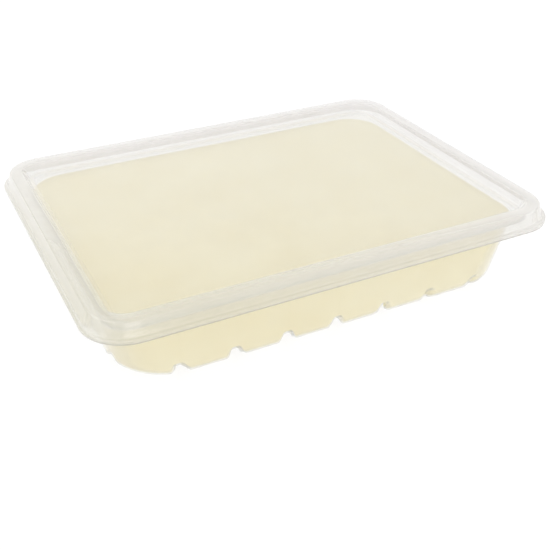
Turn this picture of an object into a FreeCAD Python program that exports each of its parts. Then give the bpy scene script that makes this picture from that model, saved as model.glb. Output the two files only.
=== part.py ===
"""Humidity dome tray: a clear cell tray, 48 growing plugs and a clear press-on lid.

Millimetres, +Z up, +X along the long side. The origin is the middle of the footprint,
on the surface that the tray's feet stand on.
"""
import FreeCAD, Part
import math
import os
import Sketcher

Vector = FreeCAD.Vector

# Driving dimensions. "Inset" is measured inwards from the lid's outline, and
# "height" upwards from the lower edge of the lid's lip.
SIZES = [
    ("flange_length", 300.0, "lid outline, along X"),
    ("flange_width", 226.4, "lid outline, along Y"),
    ("flange_radius", 26.5, "corner radius of the lid outline"),
    ("flange_level", 43.5, "lower edge of the lid's lip above the feet"),
    ("lid_wall", 0.5, "sheet thickness of the lid"),
    ("lip_height", 2.6, "upright lip round the lid"),
    ("lip_land", 2.4, "inset where the flat land ends"),
    ("shoulder_inset", 3.2, "bend in the lid's side wall"),
    ("shoulder_height", 5.0, "bend in the lid's side wall"),
    ("ring_inset", 4.9, "outer edge of the lid's raised ring"),
    ("ring_inner", 13.0, "inner edge of the lid's raised ring"),
    ("ring_height", 10.8, "top of the lid's raised ring"),
    ("panel_inset", 16.3, "edge of the lid's flat panel"),
    ("panel_height", 5.2, "top of the lid's flat panel"),
    ("overlap", 0.5, "run of panel and deck into the rim they join"),
    ("tray_wall", 0.6, "sheet thickness of the tray"),
    ("rim_gap", 0.3, "side clearance between the lid's lip and the tray's rim"),
    ("seat_gap", 0.1, "clearance under the lid's land"),
    ("bead_foot", 4.4, "inset where the rim turns up into its bead"),
    ("bead_outer", 5.9, "outer edge of the bead's top"),
    ("bead_inner", 11.0, "inner edge of the bead's top"),
    ("bead_height", 9.6, "top of the bead"),
    ("deck_inset", 12.6, "inset where the bead meets the deck"),
    ("basin_length", 262.4, "basin at the feet, along X"),
    ("basin_width", 192.0, "basin at the feet, along Y"),
    ("basin_radius", 38.0, "basin corner at the feet"),
    ("mouth_length", 268.6, "basin at the deck, along X"),
    ("mouth_width", 198.2, "basin at the deck, along Y"),
    ("mouth_radius", 24.0, "basin corner at the deck"),
    ("foot_round", 6.0, "rounding round the bottom of the basin"),
    ("cell_pitch", 33.3, "spacing of the cells both ways"),
    ("cell_columns", 8.0, "cells along X"),
    ("cell_rows", 6.0, "cells along Y"),
    ("groove_mouth", 6.0, "half width of a groove at the feet"),
    ("groove_neck", 4.8, "half width of a groove at its neck"),
    ("groove_neck_height", 2.4, "neck above the feet"),
    ("groove_shoulder", 3.9, "half width of a groove at its shoulder"),
    ("groove_shoulder_height", 6.2, "shoulder above the feet"),
    ("groove_crown", 2.2, "half width of the flat crown"),
    ("groove_crown_height", 8.6, "crown above the feet"),
    ("groove_run_out", 2.0, "depth that a groove's section runs below the feet"),
    ("plug_gap", 0.3, "clearance between the plugs and the tray"),
    ("plug_slit", 0.2, "slit between two plugs"),
]

# Angles, in degrees, at which the rounding round the bottom of the basin has a section.
FOOT_TURNS = (90, 60, 30, 0)

LEVEL = "Sizes.flange_level"
DECK_LEVEL = LEVEL + " + Sizes.tray_wall"
HALF_LENGTH = "Sizes.flange_length / 2"
SPINE_START = "Sizes.flange_width / 2 - Sizes.flange_radius"

doc = FreeCAD.newDocument("humidity_dome_tray")


def make_sheet():
    """Spreadsheet with one row for each driving dimension."""
    sheet = doc.addObject("Spreadsheet::Sheet", "Sizes")
    for row, (alias, value, note) in enumerate(SIZES, start=1):
        sheet.set(f"A{row}", alias)
        sheet.set(f"B{row}", str(value))
        sheet.set(f"C{row}", note)
        sheet.setAlias(f"B{row}", alias)
    doc.recompute()
    return sheet


def origin_feature(body, role):
    """One of a body's own origin planes or axes."""
    return next(item for item in body.Origin.OriginFeatures if item.Role == role)


def new_body(name):
    return doc.addObject("PartDesign::Body", name)


def new_sketch(body, name, role="XY_Plane", offset="0"):
    """Sketch on one of the body's origin planes, moved along its normal."""
    sketch = body.newObject("Sketcher::SketchObject", name)
    sketch.AttachmentSupport = [(origin_feature(body, role), "")]
    sketch.MapMode = "FlatFace"
    sketch.setExpression("AttachmentOffset.Base.z", f"({offset}) * 1mm")
    return sketch


def bind(sketch, kind, *references, to):
    """Dimensional constraint whose value follows an expression."""
    value = sketch.evalExpression(to)
    index = sketch.addConstraint(Sketcher.Constraint(kind, *references, float(value)))
    sketch.setExpression(f"Constraints[{index}]", to)


def rounded_rectangle(body, name, length, width, radius, level):
    """Closed outline centred on the Z axis, with four equal corner arcs."""
    sketch = new_sketch(body, name, offset=level)
    half_x = sketch.evalExpression(length) / 2
    half_y = sketch.evalExpression(width) / 2
    corner = sketch.evalExpression(radius)
    inner_x = half_x - corner
    inner_y = half_y - corner
    sides = [
        (Vector(half_x, -inner_y, 0), Vector(half_x, inner_y, 0)),
        (Vector(inner_x, half_y, 0), Vector(-inner_x, half_y, 0)),
        (Vector(-half_x, inner_y, 0), Vector(-half_x, -inner_y, 0)),
        (Vector(-inner_x, -half_y, 0), Vector(inner_x, -half_y, 0)),
    ]
    centres = [(inner_x, inner_y), (-inner_x, inner_y), (-inner_x, -inner_y), (inner_x, -inner_y)]
    quarter = math.pi / 2
    for side, (start, end) in enumerate(sides):
        sketch.addGeometry(Part.LineSegment(start, end))
        circle = Part.Circle(Vector(*centres[side], 0), Vector(0, 0, 1), corner)
        sketch.addGeometry(Part.ArcOfCircle(circle, side * quarter, (side + 1) * quarter))
    for side in range(4):
        line = 2 * side
        arc = line + 1
        following = (line + 2) % 8
        sketch.addConstraint(Sketcher.Constraint("Tangent", line, 2, arc, 1))
        sketch.addConstraint(Sketcher.Constraint("Tangent", arc, 2, following, 1))
        sketch.addConstraint(Sketcher.Constraint("Horizontal" if side % 2 else "Vertical", line))
    for arc in (3, 5, 7):
        sketch.addConstraint(Sketcher.Constraint("Equal", 1, arc))
    sketch.addConstraint(Sketcher.Constraint("Symmetric", 1, 3, 5, 3, -1, 1))
    bind(sketch, "DistanceX", 4, 1, 0, 1, to=length)
    bind(sketch, "DistanceY", 6, 1, 2, 1, to=width)
    bind(sketch, "Radius", 1, to=radius)
    return sketch


def polygon(body, name, role, corners, offset="0"):
    """Closed outline whose corners follow pairs of expressions."""
    sketch = new_sketch(body, name, role, offset)
    points = [Vector(sketch.evalExpression(across), sketch.evalExpression(up), 0) for across, up in corners]
    for index, point in enumerate(points):
        sketch.addGeometry(Part.LineSegment(point, points[(index + 1) % len(points)]))
    for index, (across, up) in enumerate(corners):
        previous = (index - 1) % len(points)
        sketch.addConstraint(Sketcher.Constraint("Coincident", previous, 2, index, 1))
        bind(sketch, "DistanceX", -1, 1, index, 1, to=across)
        bind(sketch, "DistanceY", -1, 1, index, 1, to=up)
    return sketch


def inset_outline(body, name, inset, level):
    """Rounded rectangle that runs parallel to the lid's outline."""
    return rounded_rectangle(
        body, name,
        f"Sizes.flange_length - 2 * ({inset})",
        f"Sizes.flange_width - 2 * ({inset})",
        f"Sizes.flange_radius - ({inset})",
        level)


def rim(body, name, corners):
    """Sweep a wall section, given as (inset, height) pairs, round the lid's outline."""
    spine = inset_outline(body, name + "_spine", "0", LEVEL)
    places = [(f"{HALF_LENGTH} - ({inset})", f"{LEVEL} + {height}") for inset, height in corners]
    section = polygon(body, name + "_section", "XZ_Plane", places, offset=SPINE_START)
    sweep = body.newObject("PartDesign::AdditivePipe", name)
    sweep.Profile = section
    sweep.Spine = spine
    return sweep


def plate(body, name, outline, thickness):
    """Straight extrusion that rises from its outline."""
    pad = body.newObject("PartDesign::Pad", name)
    pad.Profile = outline
    pad.setExpression("Length", thickness)
    return pad


def make_lid():
    """Thin lid: upright lip, flat land, side wall, raised ring and recessed panel."""
    body = new_body("lid")
    wall = "Sizes.lid_wall"
    inner_end = "Sizes.panel_inset + 2 * Sizes.overlap"
    rim(body, "lid_rim", [
        ("0", "0"),
        ("0", "Sizes.lip_height"),
        ("Sizes.lip_land", "Sizes.lip_height"),
        ("Sizes.shoulder_inset", "Sizes.shoulder_height"),
        ("Sizes.ring_inset", "Sizes.ring_height"),
        ("Sizes.ring_inner", "Sizes.ring_height"),
        ("Sizes.panel_inset", "Sizes.panel_height"),
        (inner_end, "Sizes.panel_height"),
        (inner_end, f"Sizes.panel_height - {wall}"),
        (f"Sizes.panel_inset - {wall} / 2", f"Sizes.panel_height - {wall}"),
        (f"Sizes.ring_inner - {wall} / 2", f"Sizes.ring_height - {wall}"),
        (f"Sizes.ring_inset + {wall}", f"Sizes.ring_height - {wall}"),
        (f"Sizes.shoulder_inset + {wall}", "Sizes.shoulder_height"),
        (f"Sizes.lip_land + {wall}", f"Sizes.lip_height - {wall}"),
        (wall, f"Sizes.lip_height - {wall}"),
        (wall, "0"),
    ])
    underside = f"{LEVEL} + Sizes.panel_height - {wall}"
    outline = inset_outline(body, "panel_outline", "Sizes.panel_inset + Sizes.overlap", underside)
    plate(body, "panel", outline, wall)
    return body


def basin(name, shrink):
    """Solid of the tapered basin with its grooved underside, shrunk all round by an amount.

    Shrink 0 gives the outside of the tray, one wall gives the space inside it, and one
    wall and a gap give the block that the plugs are cut from.
    """
    body = new_body(name)
    rounding = f"(Sizes.foot_round - ({shrink}))"
    places = [
        (f"{shrink} + {rounding} * (1 - sin({turn} deg))",
         f"{shrink} + {rounding} * (1 - cos({turn} deg))")
        for turn in FOOT_TURNS]
    places.append((DECK_LEVEL, shrink))
    sections = [basin_section(body, f"{name}_section_{number}", height, inset)
                for number, (height, inset) in enumerate(places, start=1)]
    block = body.newObject("PartDesign::AdditiveLoft", name + "_block")
    block.Profile = sections[0]
    block.Sections = sections[1:]
    block.Ruled = True
    doc.recompute()

    cut_grooves(body, name + "_across", "XZ_Plane", "X_Axis", "Sizes.cell_columns", shrink)
    cut_grooves(body, name + "_along", "YZ_Plane", "Y_Axis", "Sizes.cell_rows", shrink)
    return body


def basin_section(body, name, height, inset):
    """Level outline of the basin, between its size at the feet and its size at the deck."""
    share = f"({height}) / ({DECK_LEVEL})"
    length, width, radius = (
        f"Sizes.basin_{size} + (Sizes.mouth_{size} - Sizes.basin_{size}) * {share}"
        for size in ("length", "width", "radius"))
    return rounded_rectangle(
        body, name, f"{length} - 2 * ({inset})", f"{width} - 2 * ({inset})", f"{radius} - ({inset})", height)


def cut_grooves(body, name, plane, direction, count, shrink):
    """Row of parallel grooves in the underside, one between each two rows of cells."""
    first = f"(1 - {count} / 2) * Sizes.cell_pitch"
    flank = [
        ("Sizes.groove_mouth", "-Sizes.groove_run_out"),
        ("Sizes.groove_mouth", "0"),
        ("Sizes.groove_neck", "Sizes.groove_neck_height"),
        ("Sizes.groove_shoulder", "Sizes.groove_shoulder_height"),
        ("Sizes.groove_crown", "Sizes.groove_crown_height"),
    ]
    right = [(f"{first} + {half} + ({shrink})", f"{up} + ({shrink})") for half, up in flank]
    left = [(f"{first} - {half} - ({shrink})", f"{up} + ({shrink})") for half, up in reversed(flank)]
    groove = body.newObject("PartDesign::Pocket", name)
    groove.Profile = polygon(body, name + "_section", plane, right + left)
    groove.SideType = "Symmetric"
    groove.setExpression("Length", "2 * Sizes.flange_length")
    row = body.newObject("PartDesign::LinearPattern", name + "_row")
    row.Originals = [groove]
    row.Direction = (origin_feature(body, direction), [""])
    row.Mode = "Spacing"
    row.setExpression("Offset", "Sizes.cell_pitch")
    row.setExpression("Occurrences", f"{count} - 1")
    body.Tip = row


def make_tray():
    """Thin tray: rim with its skirt and bead, deck and basin, hollowed by the space inside."""
    shell = basin("tray_outside", "0")
    deck_edge = "Sizes.deck_inset + Sizes.overlap"
    plate(shell, "deck", inset_outline(shell, "deck_outline", deck_edge, LEVEL), "Sizes.tray_wall")
    wall = "Sizes.tray_wall"
    edge = "Sizes.lid_wall + Sizes.rim_gap"
    seat = "Sizes.lip_height - Sizes.lid_wall - Sizes.seat_gap"
    inner_end = "Sizes.deck_inset + 2 * Sizes.overlap"
    last = rim(shell, "tray_rim", [
        (edge, "0"),
        (edge, seat),
        ("Sizes.bead_foot", seat),
        ("Sizes.bead_outer", "Sizes.bead_height"),
        ("Sizes.bead_inner", "Sizes.bead_height"),
        ("Sizes.deck_inset", wall),
        (inner_end, wall),
        (inner_end, "0"),
        (f"Sizes.deck_inset - {wall} / 2", "0"),
        (f"Sizes.bead_inner - {wall} / 2", f"Sizes.bead_height - {wall}"),
        (f"Sizes.bead_outer + {wall}", f"Sizes.bead_height - {wall}"),
        (f"Sizes.bead_foot + {wall}", f"{seat} - {wall}"),
        (f"{edge} + {wall}", f"{seat} - {wall}"),
        (f"{edge} + {wall}", "0"),
    ])
    shell.Tip = last
    tray = doc.addObject("Part::Cut", "tray")
    tray.Base = shell
    tray.Tool = basin("tray_inside", wall)
    return tray


def make_plugs(columns, rows):
    """One plug for each cell, cut from a block that fills the tray."""
    block = basin("plug_block", "Sizes.tray_wall + Sizes.plug_gap")
    plugs = []
    for column in range(columns):
        for row in range(rows):
            name = f"plug_{column + 1}_{row + 1}"
            cell = doc.addObject("Part::Box", "cell_" + name)
            cell.setExpression("Length", "Sizes.cell_pitch - Sizes.plug_slit")
            cell.setExpression("Width", "Sizes.cell_pitch - Sizes.plug_slit")
            cell.setExpression("Height", LEVEL)
            start = "- Sizes.{0} / 2) * Sizes.cell_pitch + Sizes.plug_slit / 2"
            cell.setExpression("Placement.Base.x", f"({column} " + start.format("cell_columns"))
            cell.setExpression("Placement.Base.y", f"({row} " + start.format("cell_rows"))
            plug = doc.addObject("Part::Common", name)
            plug.Base = block
            plug.Tool = cell
            plugs.append(plug)
    return plugs


def check(objects):
    """Stop unless every feature computed and every piece is one valid solid."""
    failed = [item.Name for item in doc.Objects if {"Invalid", "Error"} & set(item.State)]
    if failed:
        raise RuntimeError("features failed: " + ", ".join(failed))
    for item in objects:
        shape = item.Shape
        if shape.isNull() or not shape.isValid() or len(shape.Solids) != 1:
            raise RuntimeError(item.Label + " is not one valid solid")
    pockets = [item for item in doc.Objects if item.TypeId == "PartDesign::Pocket"]
    for pocket in pockets:
        if pocket.Shape.Volume >= pocket.BaseFeature.Shape.Volume:
            raise RuntimeError(pocket.Label + " cut nothing")


def main():
    sheet = make_sheet()
    pieces = [make_lid(), make_tray()] + make_plugs(int(sheet.cell_columns), int(sheet.cell_rows))
    doc.recompute()
    check(pieces)
    os.makedirs("parts", exist_ok=True)
    for piece in pieces:
        piece.Shape.exportStep(f"parts/{piece.Label}.step")
        box = piece.Shape.BoundBox
        print(f"{piece.Label}: {piece.Shape.Volume:.0f} mm3, z {box.ZMin:.2f} to {box.ZMax:.2f}")


main()
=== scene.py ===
"""Humidity dome tray: clear cell tray, cream growing plugs and a clear press-on lid."""
import math

import bmesh
import bpy
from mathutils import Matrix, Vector


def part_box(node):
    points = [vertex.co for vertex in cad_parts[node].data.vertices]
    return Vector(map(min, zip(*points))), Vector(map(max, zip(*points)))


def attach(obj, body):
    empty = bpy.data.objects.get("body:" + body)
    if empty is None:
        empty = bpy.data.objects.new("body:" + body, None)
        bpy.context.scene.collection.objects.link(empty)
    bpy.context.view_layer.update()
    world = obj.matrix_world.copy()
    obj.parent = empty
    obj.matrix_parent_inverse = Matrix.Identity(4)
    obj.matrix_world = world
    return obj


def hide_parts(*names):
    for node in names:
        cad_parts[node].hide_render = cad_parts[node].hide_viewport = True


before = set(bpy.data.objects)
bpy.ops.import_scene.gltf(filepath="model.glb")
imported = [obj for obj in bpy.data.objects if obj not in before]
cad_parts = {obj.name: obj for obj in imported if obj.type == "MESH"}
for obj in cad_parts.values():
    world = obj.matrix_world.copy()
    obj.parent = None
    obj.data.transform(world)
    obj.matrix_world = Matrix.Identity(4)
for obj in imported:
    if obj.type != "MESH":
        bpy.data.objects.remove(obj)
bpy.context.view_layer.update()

MM = 0.001

# Lid outline, lower edge of its lip and top of the plugs, taken from the frame.
LID_LOW, LID_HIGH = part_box("lid")
PLUG_LOW, PLUG_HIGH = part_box("plug_1_1")
HALF_X = LID_HIGH.x
HALF_Y = LID_HIGH.y
FLANGE_LEVEL = LID_LOW.z
PLUG_TOP = PLUG_HIGH.z
FLANGE_RADIUS = 26.5 * MM

# Sheet thicknesses and the gap between the tray and the plugs.
LID_WALL = 0.5 * MM
TRAY_WALL = 0.6 * MM
PLUG_GAP = 0.1 * MM

# Wall sections in millimetres: inset from the lid's outline, height above its lower edge, bend radius.
LID_SECTION = [
    (0.1, 0.0, 0.0), (0.0, 0.4, 0.0), (0.0, 2.6, 0.7), (2.4, 2.6, 0.9), (3.2, 5.0, 1.5), (4.9, 10.8, 1.3),
    (13.0, 10.8, 1.6), (16.3, 5.2, 1.4), (19.0, 5.2, 0.0),
]
RIM_SECTION = [
    (0.8, 0.0, 0.0), (0.8, 2.0, 0.5), (4.4, 2.0, 0.9), (5.9, 9.6, 1.5), (11.0, 9.6, 1.5), (12.6, 0.6, 0.0),
]

# Basin of the tray: half length, half width and corner radius at its feet and at its mouth.
DECK_LEVEL = FLANGE_LEVEL + TRAY_WALL
BASIN_FEET = Vector((131.2, 96.0, 38.0)) * MM
BASIN_MOUTH = Vector((134.3, 99.1, 24.0)) * MM

# Cells and grooves of the underside; the groove's crown and mouth are half widths.
CELL_PITCH = 33.3 * MM
COLUMNS = 8
ROWS = 6
GROOVE_HEIGHT = 8.6 * MM
GROOVE_CROWN = 2.2 * MM
GROOVE_MOUTH = 6.0 * MM

# Roundings: under the cells, over the grooves and round the top of the foam.
FOOT_ROUND = 6.0 * MM
GROOVE_ROUND = 1.4 * MM
TOP_ROUND = 0.8 * MM

# Joint left beside each plug, and the angle from which its edges are sharp.
HAIRLINE = 0.02 * MM
SHARP_ANGLE = math.radians(40.0)

# Share of light that the clear sheets mirror face on, and how steeply that rises at a slant.
FACE_ON_SHINE = 0.04
SHINE_POWER = 5.0

# How much haze the milky sheets gain at a slant, and how steeply.
SLANT_HAZE = 13.0
SLANT_POWER = 7.0

# Most haze on the clear sheets: from a quarter up, the denoiser would take the sheet for the
# surface behind it in patches, and draw their edges.
CLEAR_HAZE_LIMIT = 0.23

# Studio lights: (name, place, diameter, power), in metres and watts.
SOFTBOXES = [
    ("overhead", (-0.6, 0.7, 1.5), 1.4, 5.0),
    ("front", (-0.3, -1.6, 0.35), 1.2, 4.5),
]


def smooth_step(value):
    value = min(max(value, 0.0), 1.0)
    return value * value * (3.0 - 2.0 * value)


class Grid:
    """Lines that fill a rounded rectangle, with corners mapped from squares to discs.

    Lines are spread evenly over the straights, and corner lines over each corner. The zone is
    the size of the corner's share, if it isn't the corner radius.
    """

    def __init__(self, lines_x, lines_y, corner, zone=None):
        self.corner = corner
        self.zone = zone
        self.last_i = lines_x + 2 * corner
        self.last_j = lines_y + 2 * corner
        self.border = (
            [(i, 0) for i in range(self.last_i)]
            + [(self.last_i, j) for j in range(self.last_j)]
            + [(i, self.last_j) for i in range(self.last_i, 0, -1)]
            + [(0, j) for j in range(self.last_j, 0, -1)])

    def line(self, index, last, half, radius):
        """Coordinate of one grid line."""
        zone = self.zone or radius
        from_end = min(index, last - index)
        if from_end <= self.corner:
            return math.copysign(half - zone * from_end / self.corner, index - last / 2.0)
        return (half - zone) * (2.0 * (index - self.corner) / (last - 2 * self.corner) - 1.0)

    def point(self, i, j, half_x, half_y, radius):
        """Where two grid lines meet."""
        x = self.line(i, self.last_i, half_x, radius)
        y = self.line(j, self.last_j, half_y, radius)
        across = abs(x) - (half_x - radius)
        along = abs(y) - (half_y - radius)
        if across > 0.0 and along > 0.0:
            reach = max(across, along)
            turned = along / across if across >= along else 2.0 - across / along
            angle = math.radians(45.0) * turned
            x = math.copysign(half_x - radius + reach * math.cos(angle), x)
            y = math.copysign(half_y - radius + reach * math.sin(angle), y)
        return x, y


class Shell:
    """Vertices, quads and material slots of one closed mesh built from rings and caps."""

    def __init__(self, grid):
        self.grid = grid
        self.vertices = []
        self.faces = []
        self.slots = []

    def loop(self, points):
        start = len(self.vertices)
        self.vertices.extend(points)
        return list(range(start, start + len(points)))

    def ring(self, half_x, half_y, radius, height):
        """Closed loop round a rounded rectangle; height is a function of x and y."""
        places = [self.grid.point(i, j, half_x, half_y, radius) for i, j in self.grid.border]
        return self.loop([(x, y, height(x, y)) for x, y in places])

    def bridge(self, rings, slot=0):
        """Quads between each ring and the next, in one of the piece's materials."""
        for first, second in zip(rings, rings[1:]):
            for k in range(len(first)):
                following = (k + 1) % len(first)
                self.faces.append((first[k], first[following], second[following], second[k]))
                self.slots.append(slot)

    def cap(self, border, size, height, upwards):
        """Fill a ring with a grid whose border is the ring itself."""
        index = dict(zip(self.grid.border, border))
        for i in range(1, self.grid.last_i):
            for j in range(1, self.grid.last_j):
                x, y = self.grid.point(i, j, *size)
                index[i, j] = len(self.vertices)
                self.vertices.append((x, y, height(x, y)))
        for i in range(self.grid.last_i):
            for j in range(self.grid.last_j):
                quad = (index[i, j], index[i + 1, j], index[i + 1, j + 1], index[i, j + 1])
                self.faces.append(quad if upwards else quad[::-1])
                self.slots.append(0)

    def mesh(self, name):
        mesh = bpy.data.meshes.new(name)
        mesh.from_pydata(self.vertices, [], self.faces)
        mesh.polygons.foreach_set("use_smooth", [True] * len(mesh.polygons))
        mesh.polygons.foreach_set("material_index", self.slots)
        mesh.update()
        return mesh


def add_piece(mesh, *materials):
    piece = bpy.data.objects.new(mesh.name, mesh)
    bpy.context.scene.collection.objects.link(piece)
    for material in materials:
        mesh.materials.append(material)
    return piece


def rounded_section(corners, steps=5):
    """Section line with each corner turned by a curve of its own radius, in metres."""
    points = []
    for index, (across, up, radius) in enumerate(corners):
        here = Vector((across, up)) * MM
        if radius == 0.0:
            points.append(here)
            continue
        before = Vector(corners[index - 1][:2]) * MM - here
        after = Vector(corners[index + 1][:2]) * MM - here
        reach = radius * MM / math.tan(before.angle(after) / 2.0)
        reach = min(reach, 0.45 * before.length, 0.45 * after.length)
        start = here + before.normalized() * reach
        end = here + after.normalized() * reach
        for step in range(steps + 1):
            share = step / steps
            points.append(start.lerp(here, share).lerp(here.lerp(end, share), share))
    return points


def offset_section(points, distance):
    """The same line moved to its right by a wall thickness."""
    moved = []
    for index, point in enumerate(points):
        along = (points[min(index + 1, len(points) - 1)] - points[max(index - 1, 0)]).normalized()
        moved.append(point + Vector((along.y, -along.x)) * distance)
    return moved


def parallel_size(inset):
    """Half sizes and corner radius of an outline that runs parallel to the lid's."""
    return HALF_X - inset, HALF_Y - inset, FLANGE_RADIUS - inset


def swept_rings(shell, section):
    """Rings of a section swept round the lid's outline."""
    return [
        shell.ring(*parallel_size(inset), lambda x, y, up=up: FLANGE_LEVEL + up)
        for inset, up in section
    ]


def panel_sag(x, y):
    """Slight unevenness of the lid's thin panel, fading out at its edge."""
    edge = min(1.0 - abs(x) / HALF_X, 1.0 - abs(y) / HALF_Y)
    fade = smooth_step((edge - 0.16) / 0.3)
    wave = math.sin(x * 31.0 + 0.6) * math.cos(y * 37.0 - 0.4) + 0.6 * math.sin(x * 17.0 - y * 43.0)
    return fade * wave * 0.12 * MM


def make_lid(sheet, rim_sheet, shaded_lip_edge):
    """Lip, land, side wall and ring swept round the outline, and the panel inside them."""
    shell = Shell(Grid(70, 50, 16))
    outer = rounded_section(LID_SECTION)
    inner = offset_section(outer, LID_WALL)
    outer_rings = swept_rings(shell, outer)
    inner_rings = swept_rings(shell, inner)
    # The lip's lowest 0.4 mm takes the third material, a dark sheet that is painted shade along the lid's cut
    # edge.
    shell.bridge([inner_rings[0]] + outer_rings[:2], 2)
    shell.bridge(outer_rings[1:], 1)
    shell.bridge(inner_rings[::-1], 1)
    for rings, section, upwards in ((outer_rings, outer, True), (inner_rings, inner, False)):
        inset, up = section[-1]
        shell.cap(rings[-1], parallel_size(inset),
                  lambda x, y, up=up: FLANGE_LEVEL + up + panel_sag(x, y), upwards)
    return add_piece(shell.mesh("lid_shell"), sheet, rim_sheet, shaded_lip_edge)


def groove_share(place, cells):
    """0 on a cell's foot and 1 on the crown of a groove, along one direction."""
    if abs(place) > (cells / 2.0 - 0.5) * CELL_PITCH:
        return 0.0
    offset = abs((place / CELL_PITCH + cells / 2.0 + 0.5) % 1.0 - 0.5) * CELL_PITCH
    return smooth_step((GROOVE_MOUTH - offset) / (GROOVE_MOUTH - GROOVE_CROWN))


def groove_rise(x, y):
    """Height of the underside above the feet."""
    return GROOVE_HEIGHT * (1.0 - (1.0 - groove_share(x, COLUMNS)) * (1.0 - groove_share(y, ROWS)))


def basin_size(height, inset):
    """Half sizes and corner radius of the basin at a height, moved inwards by an amount."""
    return BASIN_FEET.lerp(BASIN_MOUTH, height / DECK_LEVEL) - Vector((inset, inset, inset))


def basin_rings(shell, grow, top, levels=14, turns=6):
    """Rings from the top of the basin's wall down to its floor, and the floor's size.

    Grow is how far the wall is moved inwards, and the floor upwards.
    """
    rings = []
    for step in range(levels + turns + 1):
        points = []
        for i, j in shell.grid.border:
            share = groove_rise(*shell.grid.point(i, j, *basin_size(0.0, 0.0))) / GROOVE_HEIGHT
            foot = share * GROOVE_HEIGHT + grow
            turn = FOOT_ROUND + (GROOVE_ROUND - FOOT_ROUND) * share
            angle = math.radians(90.0) * max(step - levels, 0) / turns
            height = foot + turn * (1.0 - math.sin(angle))
            if step < levels:
                height = top + (height - top) * step / levels
            inset = grow + turn * (1.0 - math.cos(angle))
            points.append((*shell.grid.point(i, j, *basin_size(height, inset)), height))
        rings.append(shell.loop(points))
    floor_size = basin_size(0.0, grow + FOOT_ROUND)
    rings.append(shell.ring(*floor_size, lambda x, y: groove_rise(x, y) + grow))
    return rings, floor_size


def make_tray(sheet, rim_sheet):
    """Rim with its skirt and bead swept round the outline, and the basin inside it."""
    shell = Shell(Grid(160, 100, 28, BASIN_FEET.z))
    upper = rounded_section(RIM_SECTION)
    lower = offset_section(upper, TRAY_WALL)
    upper_rings = swept_rings(shell, upper)
    lower_rings = swept_rings(shell, lower)
    inside, inside_floor = basin_rings(shell, TRAY_WALL, DECK_LEVEL)
    outside, outside_floor = basin_rings(shell, 0.0, FLANGE_LEVEL)
    shell.bridge([lower_rings[0]] + upper_rings + inside[:1], 1)
    shell.bridge(inside)
    shell.bridge(outside[::-1])
    shell.bridge(outside[:1] + lower_rings[::-1], 1)
    shell.cap(inside[-1], inside_floor, lambda x, y: groove_rise(x, y) + TRAY_WALL, True)
    shell.cap(outside[-1], outside_floor, groove_rise, False)
    return add_piece(shell.mesh("tray_shell"), sheet, rim_sheet)


def foam_top(x, y):
    """Top of the cast foam: level, with a faint unevenness."""
    return PLUG_TOP - 0.15 * MM + 0.1 * MM * math.sin(x * 47.0 + 1.0) * math.sin(y * 53.0 - 0.5)


def foam_block():
    """One closed mesh of all the foam, which the plugs are cut from."""
    grow = TRAY_WALL + PLUG_GAP
    shell = Shell(Grid(160, 100, 28, BASIN_FEET.z))
    wall, floor_size = basin_rings(shell, grow, PLUG_TOP - TOP_ROUND)
    crown = []
    for step in range(5):
        angle = math.radians(90.0) * step / 4.0
        inset = grow + TOP_ROUND * (1.0 - math.sin(angle))
        drop = TOP_ROUND * (1.0 - math.cos(angle))
        crown.append(shell.ring(*basin_size(PLUG_TOP, inset), lambda x, y, drop=drop: foam_top(x, y) - drop))
    shell.bridge(crown + wall[1:])
    shell.cap(crown[0], basin_size(PLUG_TOP, grow + TOP_ROUND), foam_top, True)
    shell.cap(wall[-1], floor_size, lambda x, y: groove_rise(x, y) + grow, False)
    return shell.mesh("foam_block")


def keep_slab(cells, axis, start, end):
    """Cut a bmesh down to what lies between two planes across an axis, and close the cuts."""
    for place, side in ((start, -1.0), (end, 1.0)):
        centre = Vector((0.0, 0.0, 0.0))
        centre[axis] = place - side * HAIRLINE
        normal = Vector((0.0, 0.0, 0.0))
        normal[axis] = side
        geometry = cells.verts[:] + cells.edges[:] + cells.faces[:]
        cut = bmesh.ops.bisect_plane(cells, geom=geometry, dist=1e-7, plane_co=centre, plane_no=normal,
                                     clear_outer=True)
        edges = [item for item in cut["geom_cut"] if isinstance(item, bmesh.types.BMEdge)]
        if edges:
            bmesh.ops.edgeloop_fill(cells, edges=edges)


def make_plugs(foam):
    """Cut the foam block into one plug for each cell of the tray."""
    block = foam_block()
    for column in range(COLUMNS):
        strip = bmesh.new()
        strip.from_mesh(block)
        left = (column - COLUMNS / 2.0) * CELL_PITCH
        keep_slab(strip, 0, left, left + CELL_PITCH)
        for row in range(ROWS):
            cell = strip.copy()
            near = (row - ROWS / 2.0) * CELL_PITCH
            keep_slab(cell, 1, near, near + CELL_PITCH)
            node = f"plug_{column + 1}_{row + 1}"
            mesh = bpy.data.meshes.new(f"foam_{node}")
            cell.to_mesh(mesh)
            cell.free()
            mesh.set_sharp_from_angle(angle=SHARP_ANGLE)
            plug = add_piece(mesh, foam)
            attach(plug, "plug_sheet")
            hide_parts(node)
        strip.free()


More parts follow.
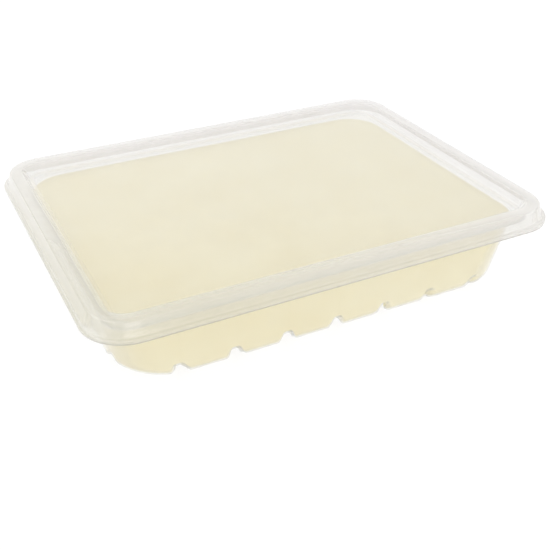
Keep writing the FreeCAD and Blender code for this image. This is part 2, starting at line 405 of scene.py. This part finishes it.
class Nodes:
    """Shorthand for one material's node tree."""

    def __init__(self, name):
        self.material = bpy.data.materials.new(name)
        self.material.use_nodes = True
        self.tree = self.material.node_tree
        self.shader = self.tree.nodes["Principled BSDF"]
        self.output = self.tree.nodes["Material Output"]

    def add(self, kind, **values):
        """Node with named input values; a value that is a socket is linked instead."""
        node = self.tree.nodes.new("ShaderNode" + kind)
        for key, value in values.items():
            self.set(node.inputs[key.replace("_", " ")], value)
        return node

    def set(self, socket, value):
        if isinstance(value, bpy.types.NodeSocket):
            self.tree.links.new(value, socket)
        else:
            socket.default_value = value

    def math(self, operation, *values):
        node = self.tree.nodes.new("ShaderNodeMath")
        node.operation = operation
        for socket, value in zip(node.inputs, values):
            self.set(socket, value)
        return node.outputs[0]

    def noise(self, scale, detail=2.0, roughness=0.5):
        where = self.add("TexCoord")
        return self.add("TexNoise", Vector=where.outputs["Object"], Scale=scale, Detail=detail,
                        Roughness=roughness).outputs["Fac"]

    def bump(self, height, strength, distance):
        return self.add("Bump", Height=height, Strength=strength, Distance=distance).outputs["Normal"]

    def ramp(self, share, start, first, end, second):
        """Colour that runs from one to the other between two values of a share."""
        node = self.add("ValToRGB", Fac=share)
        for element, place, colour in zip(node.color_ramp.elements, (start, end), (first, second)):
            element.position = place
            element.color = (*colour, 1.0)
        return node.outputs["Color"]

    def diagonal(self):
        """0 at the near left corner and 1 at the far right one."""
        where = self.add("SeparateXYZ", Vector=self.add("TexCoord").outputs["Object"]).outputs
        across = self.math("MULTIPLY_ADD", where["Y"], 0.25 / HALF_Y, 0.5)
        return self.math("MULTIPLY_ADD", where["X"], 0.25 / HALF_X, across)

    def mix(self, share, first, second):
        node = self.tree.nodes.new("ShaderNodeMixShader")
        self.set(node.inputs[0], share)
        self.set(node.inputs[1], first)
        self.set(node.inputs[2], second)
        return node.outputs[0]

    def show(self, shader):
        self.tree.links.new(shader, self.output.inputs["Surface"])
        return self.material


def milky_sheet(name, near_bleed_tint, far_tint, haze, grazing_haze, roughness):
    """Thin milky-clear sheet: see-through face on, hazier at a slant, glossy on top.

    The tints are those at the near left corner and at the far right one; the warmer near tint
    is painted colour bleed, standing in for foam-coloured light scattered in the sheet.
    """
    nodes = Nodes(name)
    ripple = nodes.bump(nodes.noise(55.0), 0.05, 0.5 * MM)
    slant = nodes.add("LayerWeight", Blend=0.5).outputs["Facing"]
    cloud = nodes.math("MULTIPLY_ADD", nodes.noise(28.0, 3.0), 0.5, 0.75)
    veil = nodes.math("MULTIPLY_ADD", nodes.math("POWER", slant, SLANT_POWER), SLANT_HAZE, haze)
    veil = nodes.math("MINIMUM", nodes.math("MULTIPLY", veil, cloud), grazing_haze)
    # Painted colour bleed: the tint runs from warm at the near left to neutral at the far right, standing in
    # for foam-coloured light scattered in the sheet.
    colour = nodes.ramp(nodes.diagonal(), 0.1, near_bleed_tint, 0.6, far_tint)
    clear = nodes.add("BsdfTransparent", Color=(0.985, 0.985, 0.985, 1.0)).outputs[0]
    nodes.set(nodes.shader.inputs["Base Color"], colour)
    nodes.set(nodes.shader.inputs["Roughness"], 0.5)
    nodes.set(nodes.shader.inputs["Normal"], ripple)
    through = nodes.add("BsdfTranslucent", Color=colour).outputs[0]
    body = nodes.mix(0.45, nodes.shader.outputs[0], through)
    shine = nodes.add("BsdfGlossy", Color=(1.0, 1.0, 1.0, 1.0), Roughness=roughness, Normal=ripple).outputs[0]
    glance = nodes.math("POWER", slant, SHINE_POWER)
    glance = nodes.math("MULTIPLY_ADD", glance, 1.0 - FACE_ON_SHINE, FACE_ON_SHINE)
    return nodes.show(nodes.mix(glance, nodes.mix(veil, clear, body), shine))


def growing_foam():
    """Dense cast foam, cream, with a fine skin and a faint mottle."""
    nodes = Nodes("growing_foam")
    mottle = nodes.ramp(nodes.noise(26.0, 4.0, 0.6), 0.3, (0.845, 0.77, 0.51), 0.7, (0.885, 0.825, 0.585))
    pores = nodes.bump(nodes.noise(900.0, 2.0, 0.6), 0.1, 0.25 * MM)
    nodes.set(nodes.shader.inputs["Base Color"], mottle)
    nodes.set(nodes.shader.inputs["Roughness"], 0.7)
    nodes.set(nodes.shader.inputs["Normal"], pores)
    return nodes.material


def make_floor():
    """Pale floor that glows enough to leave no shadow under the tray."""
    reach = 3.0
    mesh = bpy.data.meshes.new("floor")
    mesh.from_pydata([(-reach, -reach, 0.0), (reach, -reach, 0.0), (reach, reach, 0.0), (-reach, reach, 0.0)],
                     [], [(0, 1, 2, 3)])
    nodes = Nodes("pale_floor")
    nodes.set(nodes.shader.inputs["Base Color"], (0.15, 0.15, 0.15, 1.0))
    nodes.set(nodes.shader.inputs["Roughness"], 0.9)
    nodes.set(nodes.shader.inputs["Emission Color"], (1.0, 1.0, 1.0, 1.0))
    nodes.set(nodes.shader.inputs["Emission Strength"], 0.87)
    add_piece(mesh, nodes.material)


def make_light():
    """White surroundings and two soft studio lights."""
    scene = bpy.context.scene
    scene.world = bpy.data.worlds.new("studio")
    scene.world.use_nodes = True
    background = scene.world.node_tree.nodes["Background"]
    background.inputs["Color"].default_value = (1.0, 1.0, 1.0, 1.0)
    background.inputs["Strength"].default_value = 0.98
    for name, place, size, energy in SOFTBOXES:
        light = bpy.data.lights.new(name, "AREA")
        light.shape = "DISK"
        light.size = size
        light.energy = energy
        lamp = bpy.data.objects.new(name, light)
        lamp.location = place
        lamp.rotation_euler = (-lamp.location).to_track_quat("-Z", "Y").to_euler()
        scene.collection.objects.link(lamp)
    scene.view_settings.view_transform = "Standard"
    scene.cycles.transparent_max_bounces = 48


def make_camera():
    """Camera above the near left corner, aimed at a point near the front of the rim."""
    azimuth = math.radians(-26.81)
    elevation = math.radians(32.15)
    distance = 3.189 * HALF_X
    target = Vector((-0.246 * HALF_X, -0.574 * HALF_X, FLANGE_LEVEL))
    back = Vector((math.sin(azimuth) * math.cos(elevation),
                   -math.cos(azimuth) * math.cos(elevation),
                   math.sin(elevation)))
    data = bpy.data.cameras.new("camera")
    data.lens = 55.76
    data.sensor_width = 36.0
    camera = bpy.data.objects.new("camera", data)
    camera.location = target + back * distance
    camera.rotation_euler = (-back).to_track_quat("-Z", "Y").to_euler()
    bpy.context.scene.collection.objects.link(camera)
    bpy.context.scene.camera = camera


def main():
    make_camera()
    make_light()
    make_floor()
    rim_sheet = milky_sheet(
        "milky_rim", near_bleed_tint=(0.85, 0.83, 0.735), far_tint=(0.925, 0.91, 0.90),
        haze=0.2, grazing_haze=0.55, roughness=0.16)
    # Painted shade: a dark, hazy sheet on the lowest 0.4 mm of the lid's lip stands in for the shade along
    # its cut edge.
    shaded_lip_edge = milky_sheet(
        "shaded_lip_edge", near_bleed_tint=(0.48, 0.45, 0.37), far_tint=(0.52, 0.50, 0.45),
        haze=0.6, grazing_haze=0.8, roughness=0.2)
    lid_sheet = milky_sheet(
        "clear_lid", near_bleed_tint=(0.86, 0.85, 0.82), far_tint=(0.87, 0.875, 0.88),
        haze=0.07, grazing_haze=CLEAR_HAZE_LIMIT, roughness=0.14)
    lid = make_lid(lid_sheet, rim_sheet, shaded_lip_edge)
    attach(lid, "lid")
    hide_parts("lid")
    tray_sheet = milky_sheet(
        "clear_tray", near_bleed_tint=(0.86, 0.845, 0.79), far_tint=(0.87, 0.865, 0.85),
        haze=0.09, grazing_haze=CLEAR_HAZE_LIMIT, roughness=0.12)
    tray = make_tray(tray_sheet, rim_sheet)
    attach(tray, "tray")
    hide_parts("tray")
    make_plugs(growing_foam())


main()
